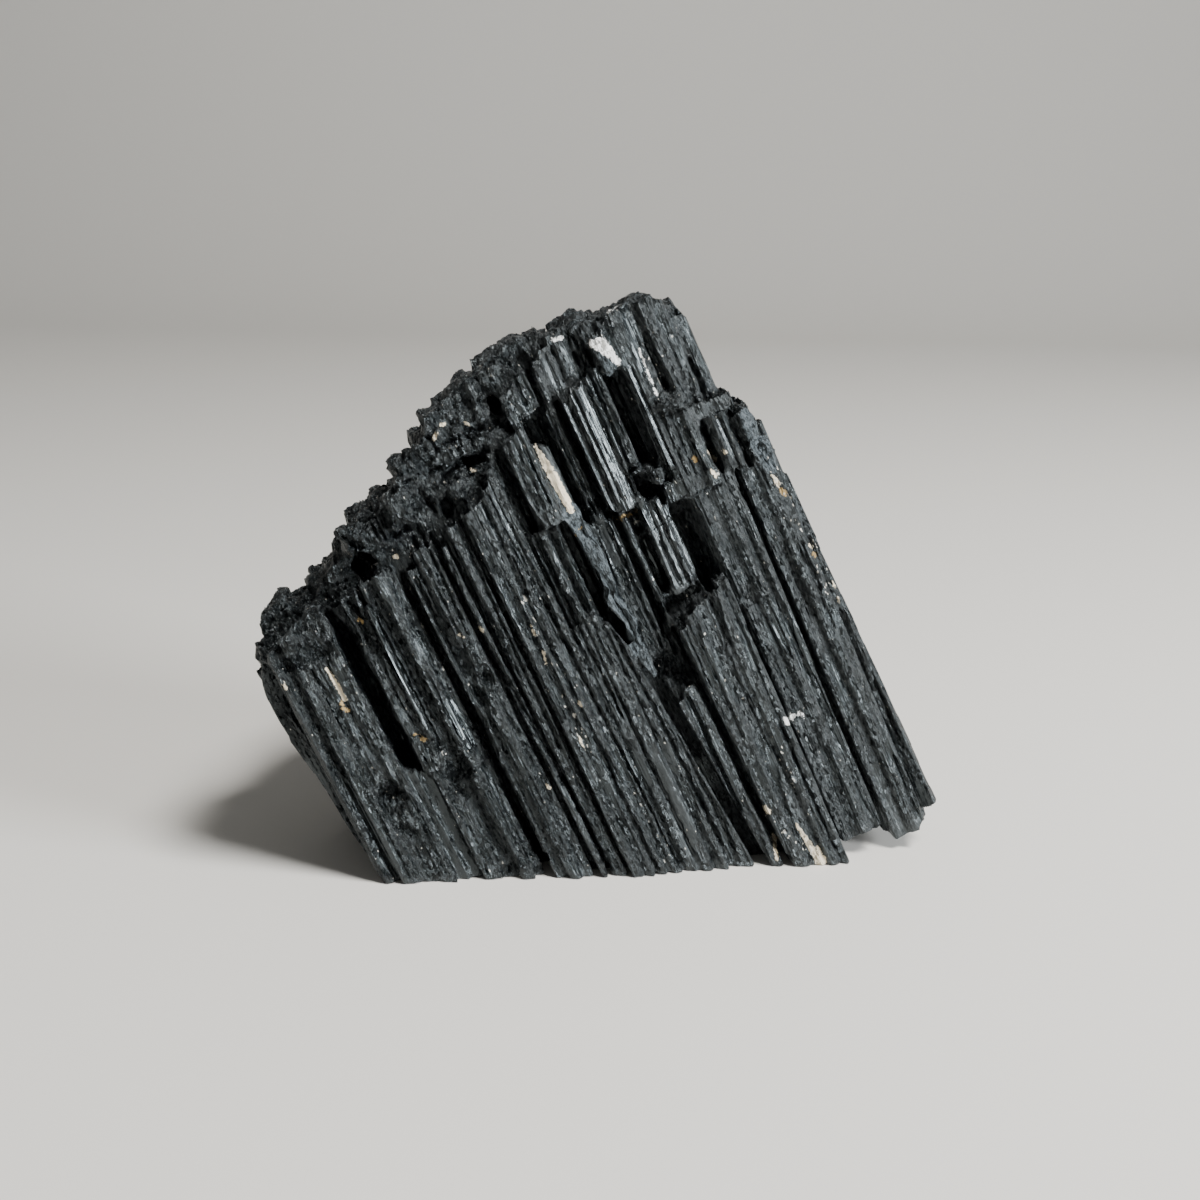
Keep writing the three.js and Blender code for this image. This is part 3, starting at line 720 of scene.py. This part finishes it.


# Marks on the stone, as strokes: a sliver and grains of cream feldspar, white patches,
# places with pale specks and painted glints, yellow and rust stains, glossy crystals and
# fine cracks. The glossy ones take in the facets that are turned to the right.
CREAM = [
    [(28.1, 107, 0.3), (28.5, 103, 0.8), (28.9, 98, 1.2), (29.3, 93, 1.1), (29.4, 89, 0.8)],
    [(-39.7, 79.3, 0.4), (-39.3, 75, 0.55), (-39.2, 70.4, 0.6)],
    [(48.5, -9.5, 0.4), (49, -16, 0.6)],
    [(48.7, -10.7, 0.4), (49.4, -17, 0.8), (50, -23, 1)],
    [(50.9, -17.5, 0.4), (51.3, -22.8, 0.6)],
    [(42.6, -1.6, 0.5), (43.3, -3.6, 0.7)],
    [(41.9, -9.8, 0.6), (41.4, -12, 0.5), (40.2, -16.5, 0.5)],
    [(7, 118.2, 0.4), (8.2, 119.4, 0.4)],
    [(10, 120.7, 0.4), (11.2, 120.3, 0.3)],
    [(15.4, 118.8, 0.4), (16, 117.8, 0.4)],
    [(12, 107.9, 0.4), (12.8, 107.2, 0.3)],
    [(-13.4, 97.2, 0.5), (-12.6, 96.6, 0.5)],
    [(65.6, 88, 0.4), (66.2, 85.2, 0.6)],
    [(64.2, 83.4, 0.4), (64.8, 81.6, 0.6)],
    [(68.8, 86.5, 0.4), (69.2, 85.7, 0.4)],
    [(77.4, 76.5, 0.3), (78, 73, 0.6)],
    [(79.2, 56, 0.35), (79.6, 54.8, 0.35)],
    [(81.1, 44.8, 0.35), (80.9, 43.2, 0.3)],
    [(80.7, 40.4, 0.35), (80.5, 39, 0.3)],
    [(-7.5, 73.1, 0.4), (-7, 72.2, 0.4)],
    [(-2.5, 72.4, 0.45), (-2.1, 71.2, 0.4)],
    [(-4.5, 28.6, 0.4), (-4.1, 27.6, 0.4)],
    [(8.9, 67, 0.35), (8.6, 64.6, 0.3)],
    [(9, 60.4, 0.4), (8.3, 57.3, 0.3)],
    [(11.6, 44.6, 0.4), (11.6, 43.2, 0.35)],
    [(7.9, 36, 0.35), (7.8, 34.2, 0.3)],
    [(-50.7, 80.4, 0.35), (-50.5, 79, 0.35)],
]
WHITE = [
    [(50.2, 123, 0.9), (52, 122, 1.7), (53.4, 118.8, 1.1), (54.1, 116, 0.5)],
    [(59.9, 117.5, 0.12), (59.7, 111, 0.3), (59.4, 105.5, 0.25)],
    [(56.6, 17.4, 0.7), (56.7, 16.2, 0.7)],
    [(57.4, 16.6, 0.6), (58.9, 17.2, 0.7)],
    [(60.4, 17.2, 0.6), (61, 16.4, 0.6)],
    [(41.6, 127.8, 0.4), (44.2, 127.2, 0.5)],
    [(56.8, 128.2, 0.3), (58.6, 128.5, 0.3)],
]
SPECK_AND_GLINT_PLACES = [
    [(9.8, 78, 1), (9.4, 55, 1.4), (8.4, 30, 1.2)],
    [(15.4, 18, 1.2), (15.2, -4, 1.6)],
    [(78.4, 78, 1.2), (79.4, 56, 1.6), (80.2, 36, 1.2)],
    [(60.9, 119, 0.9), (62, 106, 1.1)],
    [(66.4, 88, 1), (64.4, 81, 1.2)],
    [(-14.6, 82, 0.5), (-14.4, 64, 0.5)],
    [(42.6, -4, 1), (49.6, -21, 1.6)],
    [(52.5, 12, 1.2), (52, -2, 1.2)],
]
RUST = [
    [(-40, 70.3, 0.3), (-40.7, 69, 0.5), (-39.4, 67.2, 0.3)],
    [(61.7, 87.8, 0.6), (61.9, 86.6, 0.5)],
    [(-27.5, 87, 0.5), (-27.1, 86, 0.5)],
    [(-27.9, 55, 0.35), (-26.8, 54.2, 0.3)],
    [(-27.2, 53.2, 0.25), (-25.8, 52.5, 0.3)],
    [(27.7, 83, 0.2), (30, 84, 0.25)],
    [(38, 82.8, 0.25), (42, 81.8, 0.35)],
    [(41.8, -9.8, 0.4), (42.2, -11.2, 0.4)],
    [(78.2, 71.8, 0.5), (78.6, 69.8, 0.6)],
    [(79.4, 53.6, 0.3), (79.4, 52.4, 0.35)],
]
GLOSSY = [[(42, 114, 3.8), (42, 87, 3.8)], [(46, 82, 5), (46, 62, 5)], *turned]
CRACKS = [
    [(-42, 91), (-35, 93), (-30, 94), (-25, 93.7)],
    [(-41, 96), (-33, 96)],
    [(-43, 31.5), (-38, 31), (-30, 33), (-25, 33.5), (-20, 36.5), (-15, 37)],
    [(-33, 38), (-31, 37), (-25, 38.5), (-20, 40)],
    [(-1, 73.2), (4, 75.3), (17, 75.5)],
    [(0, 90), (7, 91.3)],
    [(7, 94), (12, 94)],
    [(32.5, 71), (38, 72), (44, 76), (56, 77)],
    [(56, 68.3), (68.5, 72.5)],
    [(51, 55), (51.3, 44)],
    [(58, 48), (64, 48.5)],
    [(30, 115), (36, 115.5), (42, 116), (48, 118)],
    [(58, 100), (66, 99.6), (74, 100)],
    [(81.3, 0), (81.4, 15)],
    [(46.4, 118), (46.4, 88)],
]
FAR = 3.0  # distances from a mark are kept up to this many millimetres
LOOKS_BACK = 0.3  # faces that are turned further back than this carry no marks


def mark_distance(u, v, strokes):
    """How far inside the nearest stroke's edge each place is, negative outside it."""
    inside = [stroke_distance(u, v, stroke)[0] for stroke in strokes]
    return np.clip(np.max(inside, axis=0), -FAR, FAR)


# The net is thinned where it is flat, so that its faces go where the relief is. It stays
# as it is in and around the small marks, because they need its points.
MOST_FACES = 196000
MARK_MARGIN = 0.8


def add_thinning(carrier):
    u, v = seen_places(read_vectors(carrier.data, "co"))
    near_mark = mark_distance(u, v, CREAM + WHITE + RUST) > -MARK_MARGIN
    kept = carrier.vertex_groups.new(name="near a mark")
    kept.add(np.nonzero(near_mark)[0].tolist(), 1, "REPLACE")
    thin = carrier.modifiers.new("thinning", "DECIMATE")
    faces = sum(len(face.vertices) - 2 for face in carrier.data.polygons)
    thin.ratio = MOST_FACES / faces
    thin.vertex_group = kept.name
    thin.invert_vertex_group = True


skin = finished_mesh(net, "skin", add_relief, add_thinning)

# The finish reads its marks and amounts from the points of the finished skin.
MARKS = {
    "cream": CREAM, "white": WHITE, "speck_and_glint_places": SPECK_AND_GLINT_PLACES, "rust": RUST, "vein_and_sheen": VEIN_AND_SHEEN,
    "glossy": GLOSSY,
}

place = read_vectors(skin, "co")
normal = read_vectors(skin, "normal")
u, v = seen_places(place)
hidden = (place[:, 1] > FRONT_DEPTH) | (normal[:, 1] > LOOKS_BACK)
for name, strokes in MARKS.items():
    inside = mark_distance(u, v, strokes)
    inside[hidden] = -FAR
    write_attribute(skin, name, inside)

crack_reach = np.full(len(u), FAR)
crack_side = np.full(len(u), FAR)
for crack in CRACKS:
    inside, side = stroke_distance(u, v, [(x, y, 0) for x, y in crack])
    nearer = -inside < crack_reach
    crack_reach[nearer] = -inside[nearer]
    crack_side[nearer] = side[nearer]
crack_reach[hidden] = FAR
write_attribute(skin, "crack_reach", crack_reach)
write_attribute(skin, "crack_side", np.clip(crack_side, -FAR, FAR))
for name in ("rough", "clean", "free", "inset"):
    skin.attributes.remove(skin.attributes[name])
write_attribute(skin, "rough", rough_amount(place, normal))
write_attribute(skin, "clean", clean_amount(place, CLEAN))

# Edges that stand out are worn pale, and grooves keep dark. Each point is compared with
# the middle of its neighbours, spread over a few rounds.
WEAR_ROUNDS = 4
edges = np.empty(len(skin.edges) * 2, np.int64)
skin.edges.foreach_get("vertices", edges)
ends_a, ends_b = edges.reshape(-1, 2).T
neighbours = np.bincount(edges, minlength=len(place))
around = place.copy()
for _ in range(WEAR_ROUNDS):
    sums = np.stack([
        np.bincount(ends_a, around[ends_b, k], len(place))
        + np.bincount(ends_b, around[ends_a, k], len(place))
        for k in range(3)
    ], axis=1)
    around = sums / np.maximum(neighbours, 1)[:, None]
write_attribute(skin, "worn", np.clip(np.sum((place - around) * normal, axis=1), -1, 1))


# The finish: near-black glassy stone with fine streaks along the crystals, a crumbly
# grain where it is broken, pale worn edges, dust, painted light on the right side and
# painted shade on the left, and the marks, some of them partly painted light.
BLACK = (0.0016, 0.0023, 0.0027, 1)
SLATE = (0.0095, 0.0125, 0.0140, 1)
DUST_AND_PAINTED_LIGHT = (0.046, 0.049, 0.051, 1)
CREAM_COLOUR = (0.80, 0.70, 0.53, 1)
CREAM_STAIN = (0.40, 0.33, 0.24, 1)
WHITE_COLOUR = (0.88, 0.88, 0.86, 1)
RUST_COLOUR = (0.36, 0.24, 0.095, 1)
VEIN_SHEEN_COLOUR = (0.100, 0.120, 0.135, 1)
SPECK_AND_GLINT_COLOUR = (0.62, 0.60, 0.54, 1)
STREAK = 1.3
FINE_STREAK = 0.5
STREAK_LENGTH = 34
GRAIN = 0.55
GRAIN_LENGTH = 2.2
FINE_GRAIN = 0.3
PIT = 0.6
PIT_LENGTH = 3
TONE_SIZE = 1.6
PATCH_SIZE = 7
SPECK_AND_GLINT_SIZE = 0.9
CLEAN_CALM = 0.85  # the share of their bump that clean faces lose
PAINTED_SHADE_LEFT, DUSTY_PAINTED_LIGHT_RIGHT = -30, 60  # the stone gets dustier, and as painted light lighter, from left to right
FLAKES_PAINTED_SHADE_LEFT, FLAKES_LIT_RIGHT = -45, 20  # and flakier, so that painted shade keeps its left side darker
RAGGED = {"cream": 1.3, "rust": 2.0, "vein_and_sheen": 1.6, "white": 2.0}  # how uneven an edge is
MARK_BLUR = 0.06
SHARP_EDGE = math.radians(32)


def attribute(tree, name):
    node = tree.nodes.new("ShaderNodeAttribute")
    node.attribute_name = name
    return node.outputs["Fac"]


def mixed(tree, amount, low, high):
    """From the colour low to the colour high. Its sockets share names, so they have numbers."""
    node = tree.nodes.new("ShaderNodeMix")
    node.data_type = "RGBA"
    node.clamp_factor = True
    put(tree, node.inputs["Factor"], amount)
    put(tree, node.inputs[6], low)
    put(tree, node.inputs[7], high)
    return node.outputs[2]


tree = stone_tree
object_place = tree.nodes.new("ShaderNodeTexCoord").outputs["Object"]
turn = tree.nodes.new("ShaderNodeMapping")
turn.vector_type = "TEXTURE"
put(tree, turn.inputs["Vector"], object_place)
turn.inputs["Location"].default_value = FOOT * MILLIMETRE
turn.inputs["Rotation"].default_value = crystal_turn.to_euler()
turn.inputs["Scale"].default_value = (MILLIMETRE,) * 3
crystal = turn.outputs["Vector"]
streaked = vectors(tree, "MULTIPLY", crystal, (1, 1, 1 / STREAK_LENGTH))
rough_here = attribute(tree, "rough")
uneven = maths(tree, "SUBTRACT", 1, product(tree, attribute(tree, "clean"), CLEAN_CALM))

streak = facets(tree, streaked, STREAK)[0]
fine_streak = noise(tree, streaked, FINE_STREAK, detail=1)
tone = noise(tree, streaked, TONE_SIZE, detail=3, roughness=0.65)
pitted = noise(
    tree, vectors(tree, "MULTIPLY", crystal, (1, 1, 1 / PIT_LENGTH)), PIT, detail=3, roughness=0.7
)
patch_place = vectors(tree, "MULTIPLY", crystal, (1, 1, 0.4))
patchy = noise(tree, patch_place, PATCH_SIZE, roughness=0.65)
gloss = blend(tree, -0.3, 0.1, attribute(tree, "glossy"))
crumbly = maths(tree, "MAXIMUM", rough_here, blend(tree, 0.3, 0.55, patchy))
crumbly = product(tree, crumbly, uneven, maths(tree, "SUBTRACT", 1, product(tree, gloss, 0.9)))
grain_place = vectors(tree, "MULTIPLY", crystal, (1, 1, 1 / GRAIN_LENGTH))
grain, glint = facets(tree, grain_place, GRAIN)
glint = vectors(tree, "DOT_PRODUCT", glint, (0.5, 0, 0.5))
fine_grain = noise(tree, crystal, FINE_GRAIN, detail=1)
edge_noise = maths(tree, "SUBTRACT", noise(tree, crystal, 1, roughness=0.7), 0.5)


def marked(name, ragged):
    """1 inside a mark, with a ragged edge, and 0 outside it."""
    inside = total(tree, attribute(tree, name), product(tree, edge_noise, ragged))
    return blend(tree, -MARK_BLUR, MARK_BLUR, inside)


cream, rust, vein_and_sheen, white = [marked(name, ragged) for name, ragged in RAGGED.items()]
crack_off = maths(tree, "ABSOLUTE", total(
    tree, attribute(tree, "crack_side"), product(tree, edge_noise, 1.2)
))
crack = product(
    tree,
    blend(tree, 0.2, 0.06, crack_off),
    blend(tree, 1.3, 0.8, attribute(tree, "crack_reach")),
)

# Pale specks, partly mineral grains and partly painted glints: small light spots in the colour
# where the crystals would sparkle.
speck_and_glint_places = blend(tree, -0.5, 0.5, attribute(tree, "speck_and_glint_places"))
speck_and_glint = noise(tree, vectors(tree, "MULTIPLY", crystal, (1, 1, 0.6)), SPECK_AND_GLINT_SIZE, detail=1)
speck_and_glint = blend(tree, 0.76, 0.79, total(tree, speck_and_glint, product(tree, speck_and_glint_places, 0.095)))

# The height of the bump, in millimetres.
calm = product(tree, uneven, maths(tree, "SUBTRACT", 1, product(tree, gloss, 0.35)))
height = total(
    tree,
    product(tree, streak, calm, 0.3),
    product(tree, fine_streak, calm, 0.4),
    product(tree, grain, crumbly, 1.5),
    product(tree, fine_grain, crumbly, 0.35),
    product(tree, pitted, crumbly, 0.7),
    product(tree, maths(tree, "MAXIMUM", cream, white), 0.2),
    product(tree, crack, -0.5),
)
bump = tree.nodes.new("ShaderNodeBump")
put(tree, bump.inputs["Height"], height)
bump.inputs["Distance"].default_value = MILLIMETRE
put(tree, stone_shader.inputs["Normal"], bump.outputs["Normal"])

# The colour: black, flaked with slate, dusty and worn pale, with painted light that makes
# the right side lighter and painted shade that keeps the left darker, and the marks over it.
worn = blend(tree, 0.03, 0.3, total(
    tree, attribute(tree, "worn"), product(tree, maths(tree, "SUBTRACT", patchy, 0.5), 0.2)
))
across_stone = vectors(tree, "DOT_PRODUCT", crystal, (1, 0, 0))
# Painted light: the colour turns lighter and dustier towards the right, the side the lamps light,
# on top of the real dust.
dust_and_painted_light_amount = blend(tree, PAINTED_SHADE_LEFT, DUSTY_PAINTED_LIGHT_RIGHT, across_stone)
dust_and_painted_light_amount = product(tree, dust_and_painted_light_amount, blend(tree, 0.3, 0.7, patchy))
flaky = product(tree, blend(tree, 0.4, 0.64, pitted), blend(tree, 0.3, 0.65, tone), uneven)
# Painted shade: the slate flakes thin out to the left, so the side away from the lamps is darker.
flakes_and_painted_shade = total(tree, 0.25, blend(tree, FLAKES_PAINTED_SHADE_LEFT, FLAKES_LIT_RIGHT, across_stone))
flaky = product(tree, flaky, flakes_and_painted_shade)
colour = mixed(tree, flaky, BLACK, SLATE)
colour = mixed(tree, product(tree, worn, 0.3), colour, DUST_AND_PAINTED_LIGHT)
colour = mixed(tree, product(tree, dust_and_painted_light_amount, blend(tree, 0.35, 0.6, pitted), 0.9), colour, DUST_AND_PAINTED_LIGHT)
# Painted highlight in part: the vein's blue-grey lightens the broken slab edge where it catches
# the light, mottled by the pits.
mottled_vein_sheen = product(tree, vein_and_sheen, blend(tree, 0.36, 0.62, pitted))
colour = mixed(tree, mottled_vein_sheen, colour, VEIN_SHEEN_COLOUR)
colour = mixed(tree, rust, colour, RUST_COLOUR)
stained = mixed(tree, blend(tree, 0.52, 0.7, pitted), CREAM_COLOUR, CREAM_STAIN)
colour = mixed(tree, cream, colour, stained)
colour = mixed(tree, white, colour, WHITE_COLOUR)
colour = mixed(tree, speck_and_glint, colour, SPECK_AND_GLINT_COLOUR)
colour = mixed(tree, crack, colour, BLACK)
put(tree, stone_shader.inputs["Base Color"], colour)

# How matt it is: glassy along the streaks, matt in dust and on the pale marks.
pale = maths(tree, "MAXIMUM", cream, rust)
pale = maths(tree, "MAXIMUM", pale, maths(tree, "MAXIMUM", vein_and_sheen, white))
matt = total(
    tree,
    0.03,
    product(tree, tone, 0.26),
    product(tree, glint, 0.26),
    product(tree, dust_and_painted_light_amount, 0.16),
    product(tree, gloss, -0.12),
    product(tree, pale, 0.35),
)
put(tree, stone_shader.inputs["Roughness"], matt)
stone_shader.inputs["IOR"].default_value = 1.63
stone_shader.inputs["Specular IOR Level"].default_value = 0.42
stone_shader.inputs["Specular Tint"].default_value = (0.86, 0.97, 1, 1)

# Back in the shared frame, nothing of the stone may reach under the floor.
skin.transform(crystal_frame)
settled = read_vectors(skin, "co")
settled[:, 2] = np.maximum(settled[:, 2], 0)
skin.vertices.foreach_set("co", settled.astype(np.float32).ravel())
skin.shade_smooth()
skin.set_sharp_from_angle(angle=SHARP_EDGE)
skin.update()

piece = bpy.data.objects.new("tourmaline_stone", skin)
bpy.context.scene.collection.objects.link(piece)
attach(piece, "root")
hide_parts("tourmaline")
